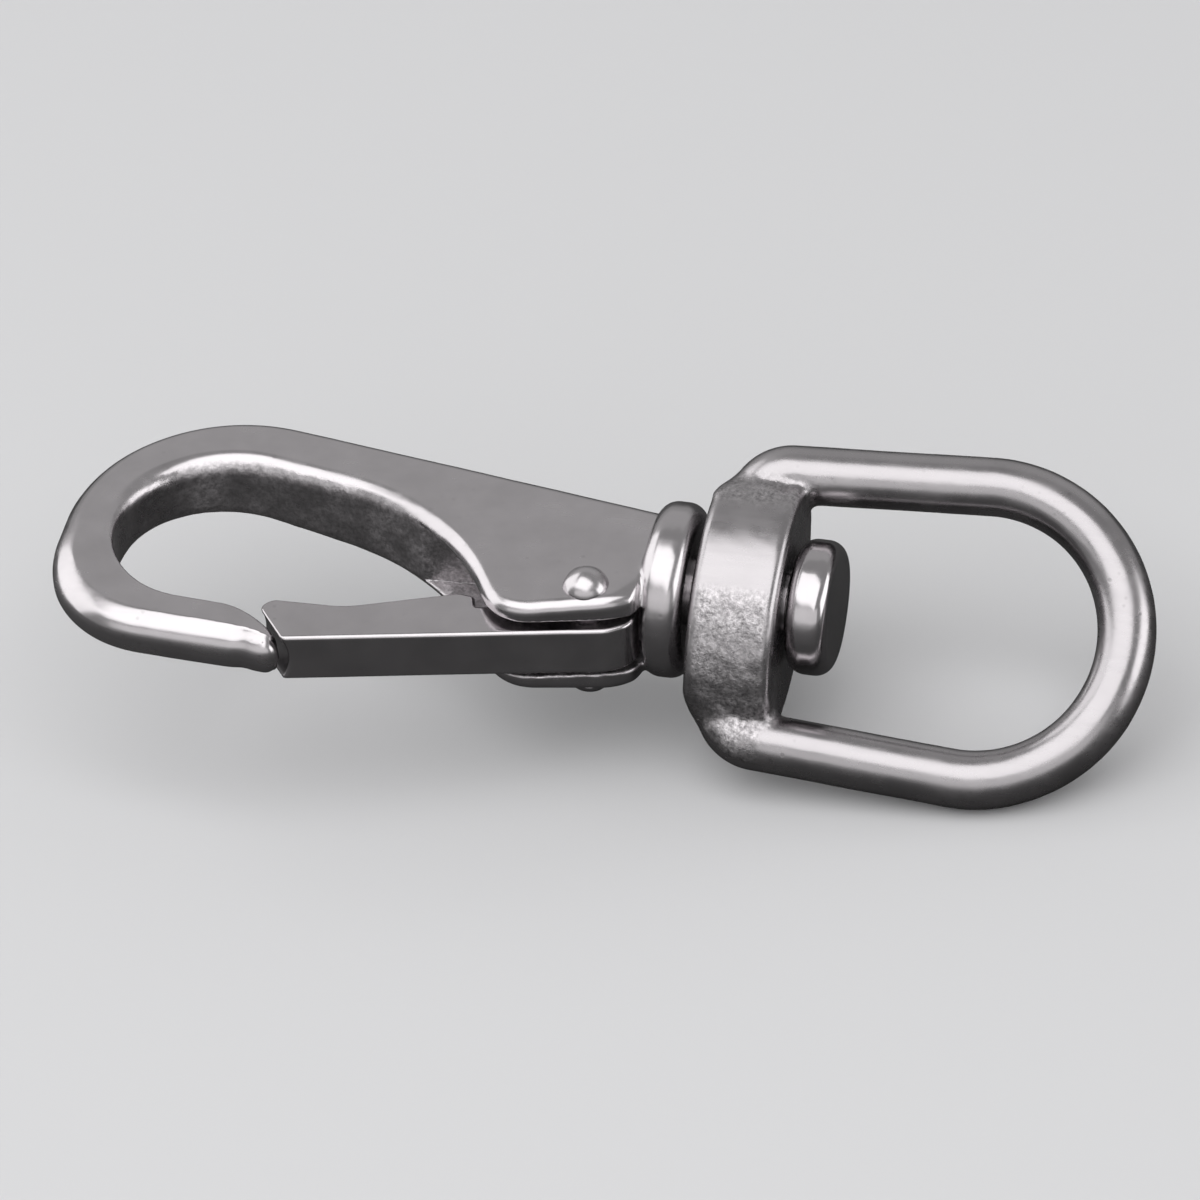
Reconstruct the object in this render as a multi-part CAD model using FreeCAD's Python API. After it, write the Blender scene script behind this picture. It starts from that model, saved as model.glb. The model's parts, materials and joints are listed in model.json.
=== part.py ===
import FreeCAD, Part
import math
import os

# Swivel-eye spring-gate snap hook, cast and polished stainless steel.
# Frame: +X runs along the swivel axis from the hook to the eye, the hook lies flat in the XY plane
# (mid-plane Z = 0), its spine on +Y and its gate on -Y. The origin is the centre of the eye's round bow.

# --- driving dimensions, mm -------------------------------------------------------------------
ROD_R = 2.6             # eye rod
BOW_R = 13.15           # centreline radius of the round bow
LEG_LEAN = 3.4          # the legs draw together towards the crosshead, degrees each
CORNER_R = 3.3          # centreline radius where a leg turns into the crosshead
BAR_X = -21.6           # centreline of the rod across the crosshead
EYE_TURN = 40.0         # rest attitude of the eye about the swivel axis, degrees
EYE_OFFSET = 0.5        # the bore lies this far beside the middle of the casting

HEAD_X0, HEAD_X1 = -24.9, -17.0       # crosshead faces
HEAD_HALF_T = 7.4       # crosshead boss: half thickness in the middle
HEAD_ARC_R = 14.0       # radius of its two bulged sides
HEAD_HALF_L = 11.0      # where the boss ends on the legs
HEAD_CORNER_R = 2.2     # its corners in plan, on the hook's side
BORE_R = 3.08           # swivel bore

JOURNAL_R = 3.0
TAIL_R = 2.1            # pressed tail of the swivel pin
TAIL_X = -30.4
PIN_HEAD_X0, PIN_HEAD_X1 = -16.6, -12.8
PIN_HEAD_R = 6.05

COLLAR_X0, COLLAR_X1 = -29.6, -25.6   # round collar at the end of the casting
COLLAR_R = 7.85
EAR_END_X = -29.1       # the ears end here, inside the collar
EAR_END_R = 8.4         # and are turned down to this radius, on a slope of EAR_SLOPE mm per mm
EAR_SLOPE = 1.1

RIVET = (-33.95, -6.75)               # gate pivot
RIVET_R = 1.5
RIVET_HEAD_R = 2.1
RIVET_HEAD_H = 1.6

EAR_HALF = 5.15         # half thickness of the casting at the gate pivot
TAPER = 0.047           # the casting thins towards the bend, mm per mm on each side
LIMB_HALF = 2.43        # half thickness of the free limb, flush with the gate
EDGE_R = 1.15           # rounding of the casting's edges
SLOT_HALF = 3.1         # half width of the slot between the ears

GATE_HALF = 2.42        # half thickness of the gate plate
GATE_HOLE_R = 1.56
HEEL_R = 4.45           # gate heel, round about the rivet
POCKET_HALF = 1.25      # pocket for the spring between the gate's two cheeks
POCKET_R = 2.55

WIRE_R = 0.3            # torsion spring
COIL_R = 2.05
COIL_PITCH = 0.64
COIL_TURNS = 2.5

# Hook casting in plan: corner points of the outline, each with the radius that rounds it.
HOOK_PLAN = [
    (-27.6, 4.25, 0), (-82.45, 15.25, 15.0), (-83.25, -15.8, 10.6), (-58.35, -16.9, 1.35),
    (-60.65, -13.95, 1.3), (-65.2, -12.05, 6.6), (-79.1, -11.2, 8.3), (-76.4, 8.1, 9.6),
    (-49.2, 2.05, 23.7), (-41.25, -11.35, 4.4), (-27.6, -7.95, 0)]

# Gate in plan, without its round heel.
GATE_PLAN = [
    (-59.75, -15.93, 0.3), (-29.6, -9.08, 2.4), (-30.8, -5.0, 0), (-36.6, -3.5, 0.8), (-42.9, -8.1, 0.4),
    (-43.7, -8.35, 0.3), (-44.1, -6.95, 0.5), (-45.6, -6.75, 1.2), (-55.2, -10.45, 9.0), (-63.75, -10.75, 1.4)]

# Meeting line of gate nose and limb end: a point on it and its direction in plan.
SEAT = (-61.13, -14.01)
SEAT_ANGLE = -52.0
SEAT_CLEAR = 0.2        # gap between gate nose and limb end
NOSE_HOLLOW = 0.7       # depth of the hollow across the gate's nose

V = FreeCAD.Vector
X_AXIS, Z_AXIS = V(1, 0, 0), V(0, 0, 1)


def rounded_wire(points):
    """Closed wire through corner points (x, y, radius), each corner rounded by its radius."""
    ends = []
    for i, (x, y, r) in enumerate(points):
        p = V(x, y, 0)
        if r == 0:
            ends.append((p, None, p))
            continue
        a = (V(*points[i - 1][:2], 0) - p).normalize()
        b = (V(*points[(i + 1) % len(points)][:2], 0) - p).normalize()
        half = a.getAngle(b) / 2
        reach = r / math.tan(half)
        centre = p + (a + b).normalize() * (r / math.sin(half))
        middle = centre + (p - centre).normalize() * r
        ends.append((p + a * reach, middle, p + b * reach))
    edges = []
    for i, (start, middle, end) in enumerate(ends):
        if middle is not None:
            edges.append(Part.Arc(start, middle, end).toShape())
        edges.append(Part.makeLine(end, ends[(i + 1) % len(ends)][0]))
    return Part.Wire(edges)


def plate(points, half):
    face = Part.Face(rounded_wire(points))
    face.translate(V(0, 0, -half))
    return face.extrude(V(0, 0, 2 * half))


def rod_x(radius, x0, x1):
    return Part.makeCylinder(radius, x1 - x0, V(x0, 0, 0), X_AXIS)


def rod_z(radius, centre, half):
    return Part.makeCylinder(radius, 2 * half, V(centre[0], centre[1], -half), Z_AXIS)


def turned_x(profile):
    """Solid turned about the swivel axis from a closed (x, r, corner radius) profile."""
    return Part.Face(rounded_wire(profile)).revolve(V(0, 0, 0), X_AXIS, 360)


def half_thickness(x, y):
    """The casting's half thickness: a straight taper, easing to the thin free limb beyond the bend."""
    spine = EAR_HALF + TAPER * (x - RIVET[0])
    ease = min(max((-2.0 - y) / 11.0, 0.0), 1.0) * min(max((-49.0 - x) / 8.0, 0.0), 1.0)
    ease = ease * ease * (3 - 2 * ease)
    return spine + (LIMB_HALF - spine) * ease


def casting_cover():
    """Everything above the casting's top surface."""
    grid = [[V(x, y, half_thickness(x, y)) for y in range(-19, 17, 3)] for x in range(-87, -22, 4)]
    surface = Part.BSplineSurface()
    surface.interpolate(grid)
    return surface.toShape().extrude(V(0, 0, 15))


def seat_frame(shape):
    """Moves a shape made with +X across the seat (towards the gate) and +Y along it onto the seat."""
    shape.rotate(V(0, 0, 0), Z_AXIS, SEAT_ANGLE + 90)
    shape.translate(V(SEAT[0], SEAT[1], 0))
    return shape


def gate_rivet():
    pin = rod_z(RIVET_R, RIVET, EAR_HALF)
    cap_r = (RIVET_HEAD_R ** 2 + RIVET_HEAD_H ** 2) / (2 * RIVET_HEAD_H)
    seat = EAR_HALF - 0.1
    ball = Part.makeSphere(cap_r, V(RIVET[0], RIVET[1], seat + RIVET_HEAD_H - cap_r))
    keep = Part.makeCylinder(3.0, 5.0, V(RIVET[0], RIVET[1], seat), Z_AXIS)
    head = ball.common(keep)
    return pin.fuse([head, head.mirror(V(0, 0, 0), Z_AXIS)]).removeSplitter()


def swivel_pin():
    profile = [
        (TAIL_X, 0, 0), (TAIL_X, TAIL_R, 0.3), (COLLAR_X1, TAIL_R, 0), (COLLAR_X1, JOURNAL_R, 0),
        (PIN_HEAD_X0, JOURNAL_R, 0), (PIN_HEAD_X0, PIN_HEAD_R, 1.4), (PIN_HEAD_X1, PIN_HEAD_R, 1.4),
        (PIN_HEAD_X1, 0, 0)]
    return turned_x(profile)


def hook_body(rivet, pin):
    body = plate(HOOK_PLAN, 9.0)
    cover = casting_cover()
    body = body.cut([cover, cover.mirror(V(0, 0, 0), Z_AXIS)])
    rims = [e for e in body.Edges if abs(e.CenterOfMass.z) > 2.0 and e.CenterOfMass.x < -28.0
            and abs(e.tangentAt(e.FirstParameter).z) < 0.5]
    body = body.makeFillet(EDGE_R, rims)

    # Limb end: rounded across its thickness so that it nests in the gate's hollow nose.
    nest_r = (GATE_HALF ** 2 + NOSE_HOLLOW ** 2) / (2 * NOSE_HOLLOW)
    front = NOSE_HOLLOW - SEAT_CLEAR
    block = Part.makeBox(nest_r + 4, 9, 12, V(front - nest_r, -4, -6))
    block = block.cut(Part.makeCylinder(nest_r, 20, V(front - nest_r, -10, 0), V(0, 1, 0)))
    body = body.cut(seat_frame(block))

    # The ears are turned down at their end, where the collar takes over.
    outside = 13.0
    slope_end = EAR_END_X - (outside - EAR_END_R) / EAR_SLOPE
    body = body.cut(turned_x([(EAR_END_X, 4.5, 0), (EAR_END_X, EAR_END_R, 0), (slope_end, outside, 0),
                              (-20, outside, 0), (-20, 4.5, 0)]))
    collar = turned_x([(COLLAR_X0, 0, 0), (COLLAR_X0, COLLAR_R, 1.7), (COLLAR_X1, COLLAR_R, 1.5),
                       (COLLAR_X1, 0, 0)])
    body = body.fuse(collar)

    # Slot for the gate: open to the front, its back wall runs up into the spine.
    slot = plate([(-54, -15, 0), (-54, 0.6, 0), (-51.3, 0.6, 0), (-46, 1.0, 1.5), (-37.5, -2.0, 0),
                  (-33.95, -4.5, 0), (-33.95, -15, 0)], SLOT_HALF)
    heel = rod_z(HEEL_R + 0.55, RIVET, SLOT_HALF)
    front_box = Part.makeBox(HEEL_R + 0.55, 9, 2 * SLOT_HALF, V(RIVET[0], RIVET[1] - 9, -SLOT_HALF))
    body = body.cut([slot, heel, front_box])
    return body.cut([rivet, pin]).removeSplitter()


def gate(rivet_hole):
    body = plate(GATE_PLAN, GATE_HALF).fuse(rod_z(HEEL_R, RIVET, GATE_HALF)).removeSplitter()
    # Nothing of the round heel stands proud of the flat outer face.
    a, b = GATE_PLAN[0], GATE_PLAN[1]
    lean = math.degrees(math.atan2(b[1] - a[1], b[0] - a[0]))
    trim = Part.makeBox(60, 6, 12, V(-15, -6, -6))
    trim.rotate(V(0, 0, 0), Z_AXIS, lean)
    trim.translate(V(a[0], a[1], 0))
    body = body.cut(trim)

    nest_r = (GATE_HALF ** 2 + NOSE_HOLLOW ** 2) / (2 * NOSE_HOLLOW)
    hollow = Part.makeCylinder(nest_r, 20, V(NOSE_HOLLOW - nest_r, -10, 0), V(0, 1, 0))
    body = body.cut(seat_frame(hollow))

    # Spring pocket: the heel end is forked into two cheeks.
    pocket = rod_z(POCKET_R, (0, 0), POCKET_HALF)
    pocket = pocket.fuse(Part.makeBox(7.6, 2.5 + 9, 2 * POCKET_HALF, V(-7.6, -2.5, -POCKET_HALF)))
    pocket = pocket.fuse(Part.makeBox(10.1, 9, 2 * POCKET_HALF, V(-7.6, 0, -POCKET_HALF)))
    pocket.rotate(V(0, 0, 0), Z_AXIS, lean)
    pocket.translate(V(RIVET[0], RIVET[1], 0))
    return body.cut([pocket, rivet_hole]).removeSplitter()


def gate_spring():
    """Torsion coil on the rivet; one leg presses on the gate, the other on the slot's back wall."""
    height = COIL_PITCH * COIL_TURNS
    helix = Part.makeHelix(COIL_PITCH, height, COIL_R)
    disc = Part.Wire(Part.makeCircle(WIRE_R, V(COIL_R, 0, 0), V(0, 1, COIL_PITCH / (2 * math.pi * COIL_R))))
    coil = Part.Wire(helix).makePipeShell([disc], True, True)
    coil.translate(V(0, 0, -height / 2))
    # The coil starts at angle 0 and ends half a turn on; turn it so that its start meets the gate leg.
    gate_leg_dir = math.radians(192.8)
    coil.rotate(V(0, 0, 0), Z_AXIS, math.degrees(gate_leg_dir) + 90)
    start = gate_leg_dir + math.pi / 2
    legs = []
    for angle, z, direction, length in (
            (start, -height / 2, gate_leg_dir, 6.9),
            (start + math.pi, height / 2, gate_leg_dir - math.radians(41), 6.4)):
        foot = V(COIL_R * math.cos(angle), COIL_R * math.sin(angle), z)
        along = V(math.cos(direction), math.sin(direction), 0)
        legs.append(Part.makeCylinder(WIRE_R, length, foot, along))
        legs.append(Part.makeSphere(WIRE_R, foot))
    spring = coil.fuse(legs)
    spring.translate(V(RIVET[0], RIVET[1], 0))
    return spring


def swivel_eye():
    """D-shaped eye made in the XY plane about the swivel axis, then turned to its rest attitude."""
    lean = math.radians(LEG_LEAN)

    def disc(centre, normal):
        return Part.Face(Part.Wire(Part.makeCircle(ROD_R, centre, normal)))

    top = V(-BOW_R * math.sin(lean), BOW_R * math.cos(lean), 0)       # bow meets the upper leg
    along = V(-math.cos(lean), -math.sin(lean), 0)                    # leg direction to the crosshead
    bow = disc(V(top.x, -top.y, 0), V(-along.x, along.y, 0)).revolve(V(0, 0, 0), Z_AXIS, 180 + 2 * LEG_LEAN)

    # Corner arc tangent to the leg and to the crossbar.
    inner = V(math.sin(lean), -math.cos(lean), 0)                     # from the leg's line to the inside
    corner_x = BAR_X + CORNER_R
    run = (top.x + inner.x * CORNER_R - corner_x) / -along.x
    corner = top + along * run + inner * CORNER_R
    leg = Part.makeCylinder(ROD_R, run, top, along)
    bend = disc(corner - inner * CORNER_R, along).revolve(corner, Z_AXIS, 90 - LEG_LEAN)
    bar = Part.makeCylinder(ROD_R, corner.y, V(BAR_X, 0, 0), V(0, 1, 0))
    side = [leg, bend, bar]
    frame = bow.fuse(side + [s.mirror(V(0, 0, 0), V(0, 1, 0)) for s in side])

    offset = HEAD_ARC_R - HEAD_HALF_T
    boss = plate([(HEAD_X0, HEAD_HALF_L, HEAD_CORNER_R), (HEAD_X0, -HEAD_HALF_L, HEAD_CORNER_R),
                  (HEAD_X1, -HEAD_HALF_L, 0), (HEAD_X1, HEAD_HALF_L, 0)], 2 * HEAD_HALF_T)
    for side_z in (offset, -offset):
        boss = boss.common(Part.makeCylinder(HEAD_ARC_R, 20, V(-30, 0, side_z), X_AXIS))
    rims = [e for e in boss.Edges if abs(e.CenterOfMass.z) > 1.5 and abs(e.CenterOfMass.y) < HEAD_HALF_L - 0.1
            and abs(e.tangentAt(e.FirstParameter).x) < 0.99]
    boss = boss.makeFillet(1.0, rims)
    eye = frame.fuse(boss)
    eye.translate(V(0, -EYE_OFFSET, 0))
    eye = eye.cut(rod_x(BORE_R, HEAD_X0 - 1, HEAD_X1 + 1)).removeSplitter()
    eye.rotate(V(0, 0, 0), X_AXIS, EYE_TURN)
    return eye


os.makedirs("parts", exist_ok=True)
rivet = gate_rivet()
pin = swivel_pin()
shapes = {
    "hook_body": hook_body(rivet, pin),
    "gate": gate(rod_z(GATE_HOLE_R, RIVET, GATE_HALF + 1)),
    "gate_spring": gate_spring(),
    "gate_rivet": rivet,
    "swivel_eye": swivel_eye(),
    "swivel_pin": pin,
}
for name, shape in shapes.items():
    box = shape.optimalBoundingBox()
    print(name, shape.isValid(), len(shape.Solids), round(shape.Volume, 1),
          [round(v, 2) for v in (box.XMin, box.XMax, box.YMin, box.YMax, box.ZMin, box.ZMax)])
    shape.exportStep("parts/%s.step" % name)
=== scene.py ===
import json
import math

import bpy
import numpy as np
from mathutils import Matrix, Vector


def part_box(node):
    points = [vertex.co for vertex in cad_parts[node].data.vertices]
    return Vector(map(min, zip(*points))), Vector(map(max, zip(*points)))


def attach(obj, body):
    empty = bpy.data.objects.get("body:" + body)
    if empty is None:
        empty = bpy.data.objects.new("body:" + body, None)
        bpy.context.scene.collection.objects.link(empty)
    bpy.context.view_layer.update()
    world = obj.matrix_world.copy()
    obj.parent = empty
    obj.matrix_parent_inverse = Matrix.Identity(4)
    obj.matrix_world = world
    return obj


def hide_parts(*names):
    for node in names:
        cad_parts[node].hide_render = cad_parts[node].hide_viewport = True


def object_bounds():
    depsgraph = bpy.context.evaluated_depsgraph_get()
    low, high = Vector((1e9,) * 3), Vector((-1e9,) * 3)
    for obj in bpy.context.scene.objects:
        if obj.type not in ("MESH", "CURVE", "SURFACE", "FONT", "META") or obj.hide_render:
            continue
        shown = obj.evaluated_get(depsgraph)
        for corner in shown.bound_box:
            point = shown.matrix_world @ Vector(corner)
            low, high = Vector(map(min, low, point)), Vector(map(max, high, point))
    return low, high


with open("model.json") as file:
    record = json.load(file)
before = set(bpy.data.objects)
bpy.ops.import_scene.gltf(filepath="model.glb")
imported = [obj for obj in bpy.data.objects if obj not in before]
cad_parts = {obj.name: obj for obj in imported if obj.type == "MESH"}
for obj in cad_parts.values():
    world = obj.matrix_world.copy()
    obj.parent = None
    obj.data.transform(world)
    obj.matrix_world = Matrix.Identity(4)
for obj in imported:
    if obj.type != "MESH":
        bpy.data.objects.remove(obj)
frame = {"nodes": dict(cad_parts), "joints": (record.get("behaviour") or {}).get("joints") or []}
cad_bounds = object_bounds()

# The castings are meshed here from smooth distance fields in millimetres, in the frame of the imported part:
# +X along the swivel axis, the hook flat in XY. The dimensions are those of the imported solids.
MM = 0.001

# --- shape data, mm ---------------------------------------------------------------------------
# Outlines: corner x, y and the radius that rounds it.
HOOK_PLAN = [
    (-27.6, 4.25, 0.02), (-82.45, 15.25, 15.0), (-83.25, -15.8, 10.6), (-60.7, -16.8, 1.9),
    (-59.45, -15.35, 0.8), (-60.65, -13.95, 1.0), (-65.2, -12.05, 6.6), (-79.1, -11.2, 8.3),
    (-76.4, 8.1, 9.6), (-49.2, 2.05, 23.7), (-41.25, -11.35, 4.4), (-27.6, -7.95, 0.02)]
SLOT_PLAN = [
    (-54, -15, 0.02), (-33.95, -15, 0.02), (-33.95, -4.5, 0.02), (-37.5, -2.0, 0.5),
    (-46, 1.0, 1.5), (-51.3, 0.6, 0.3), (-54, 0.6, 0.02)]
GATE_PLAN = [
    (-59.75, -15.93, 0.3), (-29.6, -9.08, 2.4), (-30.8, -5.0, 0.02), (-36.6, -3.5, 0.8),
    (-42.9, -8.1, 0.4), (-43.7, -8.35, 0.3), (-44.1, -6.95, 0.5), (-45.6, -6.75, 1.2),
    (-55.2, -10.45, 9.0), (-63.75, -10.75, 1.4)]
# Seat between the gate's nose and the end of the limb.
SEAT, SEAT_ANGLE = (-61.13, -14.01), math.radians(38.0)
NOSE_HOLLOW, SEAT_CLEAR = 0.7, 0.2
# Half thicknesses; the casting thins by TAPER towards the bend.
GATE_HALF, EAR_HALF, TAPER, LIMB_HALF, SLOT_HALF = 2.42, 5.15, 0.047, 2.43, 3.1
HEEL_R, HEEL_GAP = 4.45, 0.55
GATE_HOLE_R, POCKET_R, POCKET_HALF = 1.56, 2.55, 1.25
COLLAR = (-29.6, -25.6, 7.85, 1.6)               # faces, radius, rim
EAR_END = (-29.1, -29.2, 8.4, 1.1, 4.5)          # end face, where it's turned from, radius, slope, core left
ROD_R, BOW_R, LEAN, CORNER_R, BAR_X = 2.6, 13.15, math.radians(3.4), 3.3, -21.6
EYE_TURN, EYE_OFFSET = math.radians(40.0), 0.5
HEAD = (-24.9, -17.0, 7.4, 14.0, 11.0, 2.2)      # faces, half thickness, arc radius, half length, corner
BORE_R, JOURNAL_R, TAIL_R, TAIL_X = 3.08, 3.0, 2.1, -30.4
PIN_HEAD = (-14.7, 1.9, 6.05)                    # middle, half length, radius
WIRE_R, COIL_R, COIL_PITCH, COIL_TURNS = 0.3, 2.05, 0.64, 2.5
GATE_LEG, HOOK_LEG_TURN, LEG_ARC = math.radians(192.8), math.radians(41), 0.12
GATE_LEG_LENGTH, HOOK_LEG_LENGTH = 6.9, 6.4
RIVET_R, RIVET_HEAD_R, RIVET_HEAD_H = 1.5, 2.1, 1.6

pivot = next(j for j in frame["joints"] if j["name"] == "gate_pivot")["pos_m"]
RIVET = (pivot[0] / MM, pivot[1] / MM)


# --- distance fields --------------------------------------------------------------------------
def outline(points):
    """Lines and arcs of a closed outline whose corners are all rounded."""
    pts = [np.array(p, float) for p in points]
    area = sum(a[0] * b[1] - b[0] * a[1] for a, b in zip(pts, pts[1:] + pts[:1]))
    if area < 0:
        pts = pts[::-1]
    corners = []
    for i, p in enumerate(pts):
        a, b = pts[i - 1][:2] - p[:2], pts[(i + 1) % len(pts)][:2] - p[:2]
        a, b = a / np.linalg.norm(a), b / np.linalg.norm(b)
        half = math.acos(np.clip(a @ b, -1, 1)) / 2
        mid = (a + b) / np.linalg.norm(a + b)
        turn = -(a[0] * b[1] - a[1] * b[0])
        centre = p[:2] + mid * p[2] / math.sin(half)
        corners.append((p[:2] + a * p[2] / math.tan(half), p[:2] + b * p[2] / math.tan(half),
                        centre, p[2], -mid, math.cos(math.pi / 2 - half), turn > 0))
    parts = []
    for i, c in enumerate(corners):
        parts.append(("arc",) + c[2:])
        parts.append(("line", c[1], corners[(i + 1) % len(corners)][0]))
    return parts


def plan(parts, x, y):
    """Signed distance in plan to an outline, negative inside."""
    best = np.full(np.broadcast(x, y).shape, 1e9)
    for part in parts:
        if part[0] == "arc":
            _, c, r, m, cos_half, convex = part
            dx, dy = x - c[0], y - c[1]
            rho = np.sqrt(dx * dx + dy * dy) + 1e-9
            d = rho - r if convex else r - rho
            inside = (dx * m[0] + dy * m[1]) >= rho * (cos_half - 1e-9)
        else:
            _, a, b = part
            t = b - a
            length = np.linalg.norm(t)
            if length < 1e-6:
                continue
            t = t / length
            along = (x - a[0]) * t[0] + (y - a[1]) * t[1]
            d = (x - a[0]) * t[1] - (y - a[1]) * t[0]
            inside = (along >= -1e-6) & (along <= length + 1e-6)
        best = np.where(inside & (np.abs(d) < np.abs(best)), d, best)
    return best


def rounded(a, b, r, r_b=None):
    """Intersection of two fields whose common edge is rounded by r, or by a quarter ellipse r by r_b."""
    if r_b is None:
        r_b = r
    least = np.minimum(r, r_b)
    u, v = (a + r) / r * least, (b + r_b) / r_b * least
    return np.minimum(np.maximum(u, v), 0) + np.hypot(np.maximum(u, 0), np.maximum(v, 0)) - least


def smax(a, b, k):
    """Intersection of two fields, blended over k; smin is their union."""
    h = np.maximum(k - np.abs(a - b), 0) / k
    return np.maximum(a, b) + h * h * k / 4


def smin(a, b, k):
    return -smax(-a, -b, k)


def ramp(x, x0, x1):
    """Smooth step from 0 at x0 to 1 at x1."""
    t = np.clip((x - x0) / (x1 - x0), 0, 1)
    return t * t * (3 - 2 * t)


def waves(seed, count, shortest, longest):
    """Fixed random plane waves, summed to a smooth unevenness of about unit height."""
    rng = np.random.default_rng(seed)
    direction = rng.normal(size=(count, 3))
    direction /= np.linalg.norm(direction, axis=1)[:, None]
    k = 2 * np.pi / rng.uniform(shortest, longest, count)
    return direction * k[:, None], rng.uniform(0, 2 * np.pi, count)


def uneven(w, x, y, z):
    out = 0
    for k, phase in zip(*w):
        out = out + np.sin(k[0] * x + k[1] * y + k[2] * z + phase)
    return out / math.sqrt(len(w[1]))


HOOK = outline(HOOK_PLAN)
HOOK_OUT, HOOK_IN = HOOK[:9], HOOK[9:]       # round the outside as far as the tip, and back along the inside
SLOT = outline(SLOT_PLAN)
GATE = outline(GATE_PLAN)
LONG_WAVES = waves(5, 9, 5.0, 14.0)
SHORT_WAVES = waves(11, 10, 1.4, 3.2)
GRAIN = waves(23, 12, 0.8, 1.7)


def hook_plan(x, y):
    """Distance to the hook's outline, and how far its rim is rounded back near each point: full on the
    outside of the free limb, nearly sharp on its inside."""
    out, inn = plan(HOOK_OUT, x, y), plan(HOOK_IN, x, y)
    r_out = 1.2 + 1.5 * ramp(-y, -12, 14)
    past = ramp(x, -64, -56)
    r_in = (0.35 + 1.45 * ramp(y, -10, 4)) * (1 - past) + (1.2 + 0.45 * ramp(-x, 40, 56)) * past
    w_out, w_in = 1 / (out * out + 0.05) ** 2, 1 / (inn * inn + 0.05) ** 2
    share = w_out / (w_out + w_in)
    neck = 0.2 * share * np.exp(-((x + 63.2) / 0.8) ** 2) * ramp(-y, 10, 14)      # behind the ball of the tip
    return np.where(np.abs(out) < np.abs(inn), out, inn) + neck, r_in + share * (r_out - r_in)


def seat(x, y):
    """Distance across and along the seat's face."""
    dx, dy = x - SEAT[0], y - SEAT[1]
    c, s = math.cos(SEAT_ANGLE), math.sin(SEAT_ANGLE)
    return dx * c + dy * s, -dx * s + dy * c


def nest(across, z, front):
    """Round surface in the seat that the nose's hollow and the limb's end both follow."""
    r = (GATE_HALF ** 2 + NOSE_HOLLOW ** 2) / (2 * NOSE_HOLLOW)
    return np.hypot(np.maximum(across - front + r, 0), z) - r


def slot_plan(x, y):
    d = np.minimum(plan(SLOT, x, y), np.hypot(x - RIVET[0], y - RIVET[1]) - HEEL_R - HEEL_GAP)
    front = np.maximum(np.maximum(RIVET[0] - x, x - EAR_END[0]), y - RIVET[1])
    return np.minimum(d, front)


def hook_field(x, y, z):
    a, rim = hook_plan(x, y)
    spine = EAR_HALF + TAPER * (x - RIVET[0])
    ease = ramp(-y, 2.0, 13.0) * ramp(-x, 49.0, 57.0)
    half = spine + (LIMB_HALF - spine) * ease
    d = rounded(a, np.abs(z) - half, rim, np.minimum(rim, half - 0.15))
    # The ears end in a rounded shoulder at the collar and are turned down to it.
    rho = np.hypot(y, z)
    end, turned_from, end_r, incline, core = EAR_END
    d = smax(d, (rho - end_r - np.maximum(turned_from - x, 0) * incline) * 0.68, 1.4)
    d = rounded(d, np.where(rho > core, x - end, -9), 0.8)
    across, along = seat(x, y)
    box = np.maximum(np.abs(along - 0.5) - 4.5, np.abs(across - 1) - 4)
    d = smax(d, -np.maximum(box, -nest(across, z, NOSE_HOLLOW - SEAT_CLEAR)), 1.3)
    x0, x1, big, r = COLLAR
    ring = rounded(np.abs(x - (x0 + x1) / 2) - (x1 - x0) / 2, rho - big, r)
    d = smin(d, ring, 0.5)
    cut = np.maximum(slot_plan(x, y), np.abs(z) - SLOT_HALF)
    d = smax(d, -cut, 0.35)
    d = np.maximum(d, RIVET_R - np.hypot(x - RIVET[0], y - RIVET[1]))
    return np.maximum(d, np.minimum(TAIL_R - rho, x - TAIL_X))


def hook_rough(x, y, z):
    """How rough the hook was left: the upper inner wall of the bow, and the walls of the gate's slot."""
    inner = ramp(-np.abs(plan(HOOK_IN, x, y)), -0.9, -0.1) * ramp(x, -81, -72) * ramp(-x, 36, 42)
    inner = inner * ramp(y, -10, -5) * ramp(3.9 - np.abs(z), 0, 1.2)
    wall = ramp(-slot_plan(x, y), -0.5, -0.1) * ramp(SLOT_HALF + 0.3 - np.abs(z), 0, 0.3)
    return np.maximum(0.7 * inner, wall)


def hook_skin(x, y, z):
    return (0.009 * uneven(LONG_WAVES, x, y, z) + 0.003 * uneven(SHORT_WAVES, x, y, z)
            + 0.02 * hook_rough(x, y, z) * (uneven(SHORT_WAVES, x, y, z) + uneven(GRAIN, x, y, z)))


def gate_field(x, y, z):
    lean = math.atan2(GATE_PLAN[1][1] - GATE_PLAN[0][1], GATE_PLAN[1][0] - GATE_PLAN[0][0])
    c, s = math.cos(lean), math.sin(lean)
    heel = np.hypot(x - RIVET[0], y - RIVET[1]) - HEEL_R
    heel = smax(heel, (x - GATE_PLAN[0][0]) * s - (y - GATE_PLAN[0][1]) * c, 1.8)
    a = smin(plan(GATE, x, y), heel, 0.2)
    d = rounded(a, np.abs(z) - GATE_HALF, 0.38)
    across, along = seat(x, y)
    d = smax(d, -nest(across, z, NOSE_HOLLOW), 0.3)
    u = (x - RIVET[0]) * c + (y - RIVET[1]) * s
    v = -(x - RIVET[0]) * s + (y - RIVET[1]) * c
    pocket = np.hypot(u, v) - POCKET_R
    pocket = np.minimum(pocket, np.maximum(np.abs(u + 3.8) - 3.8, np.maximum(-v - 2.5, v - 9)))
    pocket = np.minimum(pocket, np.maximum(np.maximum(-u - 7.6, u - 2.5), np.maximum(-v, v - 9)))
    d = smax(d, -np.maximum(pocket, np.abs(z) - POCKET_HALF), 0.15)
    return np.maximum(d, GATE_HOLE_R - np.hypot(u, v))


def gate_skin(x, y, z):
    return 0.005 * uneven(LONG_WAVES, x, y, z)


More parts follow.
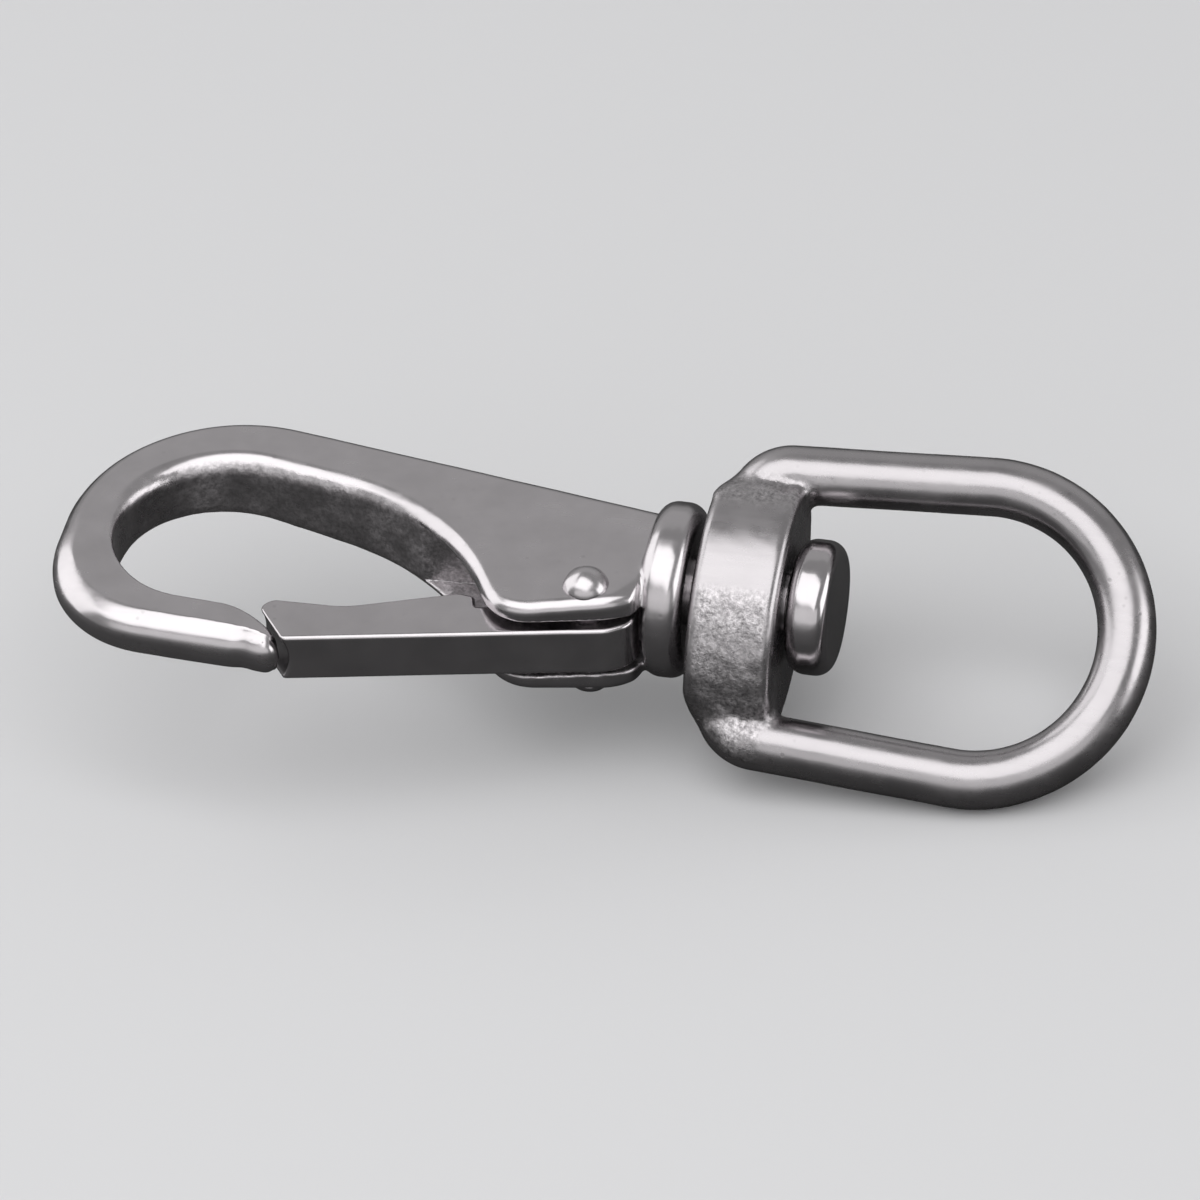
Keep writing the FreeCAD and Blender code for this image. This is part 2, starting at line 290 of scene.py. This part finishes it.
def eye_local(x, y, z):
    """The eye's own axes: along the swivel, out from it in the eye's plane, and across that plane."""
    c, s = math.cos(EYE_TURN), math.sin(EYE_TURN)
    return x, y * c + z * s + EYE_OFFSET, -y * s + z * c


def eye_centreline(x, v):
    """Distance in the eye's plane to the middle line of its rod; v is the distance from its axis."""
    top = np.array([-BOW_R * math.sin(LEAN), BOW_R * math.cos(LEAN)])
    way = np.array([-math.cos(LEAN), -math.sin(LEAN)])
    inner = np.array([math.sin(LEAN), -math.cos(LEAN)])
    run = (top[0] + inner[0] * CORNER_R - BAR_X - CORNER_R) / -way[0]
    corner = top + way * run + inner * CORNER_R
    rho = np.hypot(x, v)
    bow = np.where(x * way[0] + v * way[1] <= 0, np.abs(rho - BOW_R), 1e9)
    t = np.clip((x - top[0]) * way[0] + (v - top[1]) * way[1], 0, run)
    leg = np.hypot(x - top[0] - t * way[0], v - top[1] - t * way[1])
    dx, dv = x - corner[0], v - corner[1]
    bend = np.where((dx <= 0) & (dx * way[0] + dv * way[1] >= 0), np.abs(np.hypot(dx, dv) - CORNER_R), 1e9)
    bar = np.hypot(x - BAR_X, np.maximum(v - corner[1], 0))
    return np.minimum(np.minimum(bow, leg), np.minimum(bend, bar))


def eye_field(x, y, z):
    x, v, n = eye_local(x, y, z)
    side = np.abs(v)
    rod = np.hypot(eye_centreline(x, side), n) - ROD_R
    x0, x1, half, arc, length, corner = HEAD
    mid_x, half_x = (x0 + x1) / 2, (x1 - x0) / 2
    r = np.where(x < mid_x, corner, 0.8)
    px, pv = np.abs(x - mid_x) - half_x + r, side - length + r
    a = np.minimum(np.maximum(px, pv), 0) + np.hypot(np.maximum(px, 0), np.maximum(pv, 0)) - r
    level = np.sqrt(np.maximum(arc ** 2 - side ** 2, 30.0))
    b = (np.abs(n) + arc - half - level) * level / arc
    boss = rounded(a, b, 1.05)
    d = smin(rod, boss, 1.1)
    return smax(d, np.where(x < -10, BORE_R - np.hypot(y, z), -1e3), 0.2)


def eye_rough(x, v, n):
    """How rough the eye was left: its junctions with the legs and half of each bulged side."""
    joint = ramp(-x, 14.5, 17.5) * ramp(np.abs(v), 7.5, 9.5) * ramp(12.0 - np.abs(v), 0, 2)
    side = ramp(-x, 17.2, 18.2) * ramp(x, -24.6, -23.6) * ramp(-v * np.sign(n), -0.6, 1.0)
    return np.maximum(joint, side * (np.abs(n) > 1.5))


def eye_skin(x, y, z):
    x, v, n = eye_local(x, y, z)
    rough = eye_rough(x, v, n)
    off_bore = ramp(np.hypot(v - EYE_OFFSET, n), BORE_R + 0.2, BORE_R + 1.2)
    return off_bore * (0.011 * uneven(LONG_WAVES, x, v, n)
                       + (0.003 + 0.035 * rough) * uneven(SHORT_WAVES, x, v, n)
                       + 0.012 * rough * uneven(GRAIN, x, v, n))


def pin_field(x, y, z):
    rho = np.hypot(y, z)
    middle, half, radius = PIN_HEAD
    head = rounded(np.abs(x - middle) - half, rho - radius, 1.5, 1.3)
    shank = np.maximum(rho - JOURNAL_R, np.maximum(x + 15, COLLAR[1] - x))
    tail = rounded(rho - TAIL_R, np.maximum(x + 20, TAIL_X - x), 0.3)
    return np.minimum(smin(head, shank, 0.15), tail)


def pin_skin(x, y, z):
    """The turned end is dished a little and shows a few tool rings."""
    rho = np.hypot(y, z)
    face = ramp(x, -13.5, -12.9) * ramp(4.9 - rho, 0, 0.8)
    rings = 0.03 + 0.010 * np.sin(rho * 8.0)
    return 0.012 * ramp(rho, 3.1, 4.0) * uneven(LONG_WAVES, x, y, z) + face * rings


def rivet_field(x, y, z):
    rho = np.hypot(x - RIVET[0], y - RIVET[1])
    shank = np.maximum(rho - RIVET_R, np.abs(z) - EAR_HALF)
    cap = (RIVET_HEAD_R ** 2 + RIVET_HEAD_H ** 2) / (2 * RIVET_HEAD_H)
    base = EAR_HALF - 0.1
    ball = np.hypot(rho, np.abs(z) - base - RIVET_HEAD_H + cap) - cap
    head = smax(ball, base - np.abs(z), 0.1)
    return np.minimum(shank, head)


def rivet_skin(x, y, z):
    return 0.02 * uneven(SHORT_WAVES, x, y, z)


# --- meshing ----------------------------------------------------------------------------------
SMOOTHING_TURNS, SETTLING_TURNS = 4, 3
SETTLE_STEP, NORMAL_STEP = 0.004, 0.01           # for slopes, mm


def slopes(f, p, e):
    """Value and slope of a field at points."""
    at = f(*p.T)
    g = np.empty_like(p)
    for k in range(3):
        q = p.copy()
        q[:, k] += e
        g[:, k] = (f(*q.T) - at) / e
    return at, g


def surface(field, skin, low, high, step):
    """Dual mesh of the zero surface: one point in each grid cell that it crosses, moved onto the surface."""
    axes = [np.arange(a - 2 * step, b + 3 * step, step) for a, b in zip(low, high)]
    inside = field(axes[0][:, None, None], axes[1][None, :, None], axes[2][None, None, :]) < 0
    shape = tuple(n - 1 for n in inside.shape)
    count = np.zeros(shape, np.int8)
    for corner in np.ndindex(2, 2, 2):
        count += inside[tuple(slice(c, c + n) for c, n in zip(corner, shape))]
    active = (count > 0) & (count < 8)
    index = np.full(shape, -1, np.int64)
    cells = np.argwhere(active)
    index[active] = np.arange(len(cells))
    p = np.stack([axes[k][cells[:, k]] + step / 2 for k in range(3)], 1)
    quads = []
    for k in range(3):
        u, v = (k + 1) % 3, (k + 2) % 3
        a, b = [slice(None)] * 3, [slice(None)] * 3
        a[k], b[k] = slice(0, -1), slice(1, None)
        at = np.argwhere(inside[tuple(a)] != inside[tuple(b)])
        step_u, step_v = np.eye(3, dtype=int)[u], np.eye(3, dtype=int)[v]
        round_edge = (0 * step_u, step_u, step_u + step_v, step_v)
        q = np.stack([index[tuple((at - o).T)] for o in round_edge], 1)
        outward = inside[tuple(at.T)]
        q[~outward] = q[~outward][:, ::-1]
        quads.append(q)
    quads = np.concatenate(quads)
    edges = np.concatenate([quads[:, [i, (i + 1) % 4]] for i in range(4)])
    degree = np.bincount(edges.ravel(), minlength=len(p))[:, None]

    def full(x, y, z):
        return field(x, y, z) + skin(x, y, z)

    def settle(p, f):
        at, g = slopes(f, p, SETTLE_STEP)
        move = at[:, None] * g / np.maximum((g * g).sum(1), 0.05)[:, None]
        size = np.linalg.norm(move, axis=1)[:, None]
        return p - move * np.minimum(1, step / np.maximum(size, 1e-9))

    for turn in range(SMOOTHING_TURNS):
        p = settle(settle(p, field) if turn == 0 else p, field)
        total = np.stack([np.bincount(edges[:, 0], p[edges[:, 1], k], len(p))
                          + np.bincount(edges[:, 1], p[edges[:, 0], k], len(p)) for k in range(3)], 1)
        p = p + 0.5 * (total / degree - p)
    for turn in range(SETTLING_TURNS):
        p = settle(p, full)
    n = slopes(full, p, NORMAL_STEP)[1]
    return p, quads, n / np.maximum(np.linalg.norm(n, axis=1), 1e-9)[:, None]


def piece(name, field, skin, node, step, body, rough=None):
    """A casting meshed in its CAD node's box, in that node's place."""
    low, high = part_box(node)
    step *= 1
    p, quads, normals = surface(field, skin, np.array(low) / MM, np.array(high) / MM, step)
    mesh = bpy.data.meshes.new(name)
    mesh.vertices.add(len(p))
    mesh.vertices.foreach_set("co", (p * MM).astype(np.float32).ravel())
    mesh.loops.add(quads.size)
    mesh.loops.foreach_set("vertex_index", quads.astype(np.int32).ravel())
    mesh.polygons.add(len(quads))
    mesh.polygons.foreach_set("loop_start", np.arange(0, quads.size, 4, dtype=np.int32))
    mesh.polygons.foreach_set("use_smooth", np.ones(len(quads), bool))
    mesh.update(calc_edges=True)
    mesh.validate()
    mesh.normals_split_custom_set_from_vertices(normals.astype(np.float32))
    cast = mesh.attributes.new("cast", "FLOAT", "POINT")
    cast.data.foreach_set("value", (rough(*p.T) if rough else 0 * p[:, 0]).astype(np.float32))
    o = bpy.data.objects.new(name, mesh)
    bpy.context.scene.collection.objects.link(o)
    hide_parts(node)
    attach(o, body)
    return o


def eye_cast(x, y, z):
    return eye_rough(*eye_local(x, y, z))


hook = piece("hook_casting", hook_field, hook_skin, "hook_body", 0.2, "hook", hook_rough)
gate = piece("gate_plate", gate_field, gate_skin, "gate", 0.16, "gate")
eye = piece("eye_casting", eye_field, eye_skin, "swivel_eye", 0.2, "eye", eye_cast)
pin = piece("pin_turned", pin_field, pin_skin, "swivel_pin", 0.15, "hook")
rivet = piece("rivet_domed", rivet_field, rivet_skin, "gate_rivet", 0.09, "hook")


def wire(name, path, radius, body):
    """Round wire along a path, with domed ends."""
    path = np.array(path, float)
    way = np.gradient(path, axis=0)
    way /= np.linalg.norm(way, axis=1)[:, None]
    sides = 14
    tip = np.sin(np.linspace(0, np.pi / 2, 5))[1:]
    angles = np.arange(sides) * 2 * np.pi / sides

    def dome(end, outward, along):
        """Shrinking rings past an end of the wire."""
        return [(end + outward * radius * c, along, radius * math.sqrt(max(1 - c * c, 1e-4))) for c in tip]

    stations = (dome(path[0], -way[0], way[0])[::-1] + [(p, w, radius) for p, w in zip(path, way)]
                + dome(path[-1], way[-1], way[-1]))
    side = np.cross(way[0], (0, 0, 1.0))
    points = []
    for p, w, r in stations:
        side = side - w * (side @ w)
        side /= np.linalg.norm(side)
        other = np.cross(w, side)
        points += [p + r * (math.cos(t) * side + math.sin(t) * other) for t in angles]
    ring = [(b, (b + 1) % sides) for b in range(sides)]
    faces = [(a * sides + b, a * sides + c, (a + 1) * sides + c, (a + 1) * sides + b)
             for a in range(len(stations) - 1) for b, c in ring]
    faces += [tuple(range(sides))[::-1], tuple((len(stations) - 1) * sides + b for b in range(sides))]
    mesh = bpy.data.meshes.new(name)
    mesh.from_pydata([Vector(p) * MM for p in points], [], faces)
    mesh.validate()
    mesh.polygons.foreach_set("use_smooth", [True] * len(mesh.polygons))
    o = bpy.data.objects.new(name, mesh)
    bpy.context.scene.collection.objects.link(o)
    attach(o, body)
    return o


def coil(start, turns, z, count):
    """Points of a coil round the rivet, from the angle start and the height z."""
    along = [(start + 2 * math.pi * t, t) for t in np.linspace(0, turns, count)]
    return [(RIVET[0] + COIL_R * math.cos(a), RIVET[1] + COIL_R * math.sin(a), z + COIL_PITCH * t)
            for a, t in along]


def leg(foot, direction, length):
    """Points of a straight leg after its foot."""
    return [(foot[0] + t * math.cos(direction), foot[1] + t * math.sin(direction), foot[2])
            for t in np.linspace(0, length, 12)[1:]]


# The spring is in two pieces, so that its gate leg stays on the gate: the leg brings a short arc of wire,
# slightly thicker, that slides along the coil as the gate opens.
LEG_EXTRA_R = 0.01
start = GATE_LEG + math.pi / 2
low = -COIL_PITCH * COIL_TURNS / 2
turned_on = coil(start, COIL_TURNS, low, 90)
hook_leg = leg(turned_on[-1], GATE_LEG - HOOK_LEG_TURN, HOOK_LEG_LENGTH)
spring = wire("spring_coil", turned_on + hook_leg, WIRE_R, "hook")
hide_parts("gate_spring")
arc = coil(start, LEG_ARC, low, 16)
gate_leg = leg(arc[0], GATE_LEG, GATE_LEG_LENGTH)
spring_leg = wire("spring_leg", gate_leg[::-1] + arc, WIRE_R + LEG_EXTRA_R, "gate")


# --- materials --------------------------------------------------------------------------------
# Noise scales of the steel, per metre.
CLOUD_SCALE, PATCH_SCALE, FINE_SCALE, GRIT_SCALE, PIT_SCALE = 260.0, 160.0, 2600.0, 2600.0, 900.0
SCRATCH_SCALE, SCRATCH_STRETCH = 1400.0, (0.10, 1.0, 1.0)
GREEN, BLUE = 0.955, 0.98                        # of the steel's tone, whose red is 1
PIT_DARKER, PIT_DEEPER, GRIT_HEIGHT, FINE_HEIGHT = 0.25, 0.25, 0.9, 0.012
SCRATCH_ROUGH, BUMP_HEIGHT = 0.05, 0.0001


def steel(name, tone, rough, pits, cast_rough=0.28, streaks=0.010):
    """Polished cast stainless: faint clouds and lines in the polish, sparse pits, rough as-cast parts."""
    m = bpy.data.materials.new(name)
    m.use_nodes = True
    tree = m.node_tree
    nodes, links = tree.nodes, tree.links
    nodes.clear()

    def node(kind, **values):
        n = nodes.new(kind)
        for key, value in values.items():
            if hasattr(n, key):
                setattr(n, key, value)
            else:
                n.inputs[key.replace("_", " ")].default_value = value
        return n

    def link(a, b):
        links.new(a, b)

    def noise(scale, detail=3.0, roughness=0.5, stretch=None):
        n = node("ShaderNodeTexNoise", Scale=scale, Detail=detail, Roughness=roughness)
        if stretch is None:
            link(coords.outputs["Object"], n.inputs["Vector"])
        else:
            mapping = node("ShaderNodeMapping")
            mapping.inputs["Scale"].default_value = stretch
            link(coords.outputs["Object"], mapping.inputs["Vector"])
            link(mapping.outputs[0], n.inputs["Vector"])
        return n.outputs["Fac"]

    def span(value, a, b, c, d):
        n = node("ShaderNodeMapRange")
        for i, v in zip((1, 2, 3, 4), (a, b, c, d)):
            n.inputs[i].default_value = v
        link(value, n.inputs[0])
        return n.outputs[0]

    def math_(op, a, b):
        n = node("ShaderNodeMath", operation=op)
        for i, v in enumerate((a, b)):
            if isinstance(v, (int, float)):
                n.inputs[i].default_value = v
            else:
                link(v, n.inputs[i])
        return n.outputs[0]

    coords = node("ShaderNodeTexCoord")
    cast = node("ShaderNodeAttribute", attribute_name="cast").outputs["Fac"]
    cloud = noise(CLOUD_SCALE, 4.0, 0.55)
    fine = noise(FINE_SCALE, 3.0, 0.6)
    scratch = noise(SCRATCH_SCALE, 2.0, 0.5, SCRATCH_STRETCH)
    grit = noise(GRIT_SCALE, 4.0, 0.7)
    pit = node("ShaderNodeTexVoronoi", Scale=PIT_SCALE)
    link(coords.outputs["Object"], pit.inputs["Vector"])
    patch = span(noise(PATCH_SCALE, 2.0), 0.52, 0.66, 0.0, 1.0)
    pit_mask = math_("MULTIPLY", span(pit.outputs["Distance"], 0.10, 0.22, 1.0, 0.0),
                     math_("MULTIPLY", patch, pits))
    rough_cast = math_("MULTIPLY", cast, span(cloud, 0.36, 0.6, 0.45, 1.0))

    tone_now = math_("SUBTRACT", span(cloud, 0.3, 0.7, tone * 0.94, tone * 1.05),
                     math_("MULTIPLY", pit_mask, PIT_DARKER))
    speckle = span(grit, 0.36, 0.64, 0.24, -0.22)
    tone_now = math_("SUBTRACT", tone_now, math_("MULTIPLY", rough_cast, speckle))
    colour = node("ShaderNodeCombineColor")
    link(tone_now, colour.inputs[0])
    link(math_("MULTIPLY", tone_now, GREEN), colour.inputs[1])
    link(math_("MULTIPLY", tone_now, BLUE), colour.inputs[2])
    rough_now = math_("ADD", span(cloud, 0.3, 0.7, rough * 0.8, rough * 1.25),
                      math_("MULTIPLY", span(scratch, 0.45, 0.7, 0, 1), SCRATCH_ROUGH))
    rough_now = math_("ADD", rough_now, math_("MULTIPLY", rough_cast, cast_rough))
    height = math_("ADD", math_("MULTIPLY", fine, FINE_HEIGHT), math_("MULTIPLY", scratch, streaks))
    height = math_("SUBTRACT", height, math_("MULTIPLY", pit_mask, PIT_DEEPER))
    height = math_("ADD", height, math_("MULTIPLY", math_("MULTIPLY", grit, rough_cast), GRIT_HEIGHT))
    bump = node("ShaderNodeBump")
    bump.inputs["Strength"].default_value = 1.0
    bump.inputs["Distance"].default_value = BUMP_HEIGHT
    link(height, bump.inputs["Height"])
    shader = node("ShaderNodeBsdfPrincipled")
    shader.inputs["Metallic"].default_value = 1.0
    link(colour.outputs[0], shader.inputs["Base Color"])
    link(rough_now, shader.inputs["Roughness"])
    link(bump.outputs[0], shader.inputs["Normal"])
    out = node("ShaderNodeOutputMaterial")
    link(shader.outputs[0], out.inputs[0])
    return m


spring_wire = steel("spring_wire", 0.5, 0.25, 0.1)
looks = (
    (hook, steel("cast_steel", 0.56, 0.21, 0.25)),
    (gate, steel("gate_steel_look", 0.56, 0.18, 0.2)),
    (eye, steel("eye_steel_look", 0.45, 0.25, 0.3, cast_rough=0.06, streaks=0.022)),
    (pin, steel("pin_steel_look", 0.56, 0.17, 0.4)),
    (rivet, steel("rivet_steel_look", 0.56, 0.22, 0.1)),
    (spring, spring_wire),
    (spring_leg, spring_wire))
for o, look in looks:
    o.data.materials.clear()
    o.data.materials.append(look)


# --- floor: it rises along X and touches the part only at the eye's lowest point -----------------
FLOOR_SLOPE, FLOOR_HALF, FLOOR_GAP = 0.1, 6.0, 0.00002
points = np.concatenate([np.array([v.co for v in o.data.vertices]) for o in frame["nodes"].values()])
offset = (points[:, 2] - FLOOR_SLOPE * points[:, 0]).min()
floor_mesh = bpy.data.meshes.new("floor")
corners = [(sx * FLOOR_HALF, sy * FLOOR_HALF) for sx, sy in ((-1, -1), (1, -1), (1, 1), (-1, 1))]
floor_mesh.from_pydata([(x, y, FLOOR_SLOPE * x + offset - FLOOR_GAP) for x, y in corners], [], [(0, 1, 2, 3)])
floor = bpy.data.objects.new("floor", floor_mesh)
bpy.context.scene.collection.objects.link(floor)
floor_paint = bpy.data.materials.new("floor_paint")
floor_paint.use_nodes = True
tree = floor_paint.node_tree
paint = tree.nodes["Principled BSDF"]
paint.inputs["Roughness"].default_value = 0.6
paint.inputs["Specular IOR Level"].default_value = 0.2
# The floor is pale to the eye and dark in the part's reflections.
path, shade = tree.nodes.new("ShaderNodeLightPath"), tree.nodes.new("ShaderNodeMix")
shade.data_type = "RGBA"
shade.inputs[6].default_value = (0.66, 0.66, 0.67, 1)
shade.inputs[7].default_value = (0.05, 0.05, 0.05, 1)
tree.links.new(path.outputs["Is Glossy Ray"], shade.inputs[0])
tree.links.new(shade.outputs[2], paint.inputs["Base Color"])
floor_mesh.materials.append(floor_paint)


# --- light ------------------------------------------------------------------------------------
def softbox(name, where, at, size, power):
    light = bpy.data.lights.new(name, "AREA")
    light.shape = "RECTANGLE"
    light.size, light.size_y = size
    light.energy = power
    o = bpy.data.objects.new(name, light)
    bpy.context.scene.collection.objects.link(o)
    o.location = where
    o.rotation_euler = (Vector(at) - Vector(where)).to_track_quat("-Z", "Y").to_euler()


middle = (Vector(cad_bounds[0]) + Vector(cad_bounds[1])) / 2


def toward(x, y, z, distance):
    return middle + Vector((x, y, z)).normalized() * distance


softbox("overhead", toward(-0.10, -0.36, 0.92, 0.75), middle, (1.1, 0.75), 4.2)
softbox("front", toward(0.0, -0.92, 0.40, 0.9), middle, (1.6, 0.45), 1.4)
softbox("behind", toward(-0.18, 0.80, 0.55, 1.1), middle, (1.8, 0.75), 0.55)
softbox("right", toward(0.93, 0.02, 0.30, 0.9), middle, (0.8, 0.45), 2.1)
softbox("left", toward(-0.93, 0.12, 0.36, 0.9), middle, (0.9, 0.9), 3.3)
world = bpy.data.worlds.new("room")
bpy.context.scene.world = world
world.use_nodes = True
tree = world.node_tree
coords, split = tree.nodes.new("ShaderNodeTexCoord"), tree.nodes.new("ShaderNodeSeparateXYZ")
fade = tree.nodes.new("ShaderNodeMapRange")
for i, v in zip((1, 2, 3, 4), (-0.8, 0.7, 0.30, 0.36)):
    fade.inputs[i].default_value = v
tree.links.new(coords.outputs["Generated"], split.inputs[0])
tree.links.new(split.outputs["Y"], fade.inputs[0])
tree.links.new(fade.outputs[0], tree.nodes["Background"].inputs["Strength"])
tree.nodes["Background"].inputs[0].default_value = (1, 1, 1, 1)

# --- camera: long lens, from in front and above --------------------------------------------------
right = Vector((0.976, 0.216, -0.023))
back = Vector((0.18, -0.744, 0.643)).normalized()
right = (right - back * right.dot(back)).normalized()
view_up = back.cross(right)
aim = Vector((-0.0149, 0, 0))
DISTANCE, LENS, SENSOR, FRAME_WIDTH = 1.0, 339.0, 36, 1200
AIM_RIGHT, AIM_UP = 215, -7                      # where the aim lies from the frame's middle
focal = LENS / SENSOR * FRAME_WIDTH
spot = Vector((AIM_RIGHT / focal, AIM_UP / focal, -1)).normalized()
turned = Matrix((right, view_up, back)).transposed()
turned = (turned @ spot).rotation_difference(-back).to_matrix() @ turned
lens = bpy.data.cameras.new("camera")
lens.sensor_width, lens.lens = SENSOR, LENS
lens.clip_start, lens.clip_end = 0.02, 50
camera = bpy.data.objects.new("camera", lens)
bpy.context.scene.collection.objects.link(camera)
camera.matrix_world = Matrix.Translation(aim + back * DISTANCE) @ turned.to_4x4()
bpy.context.scene.camera = camera
bpy.context.scene.view_settings.view_transform = "Standard"
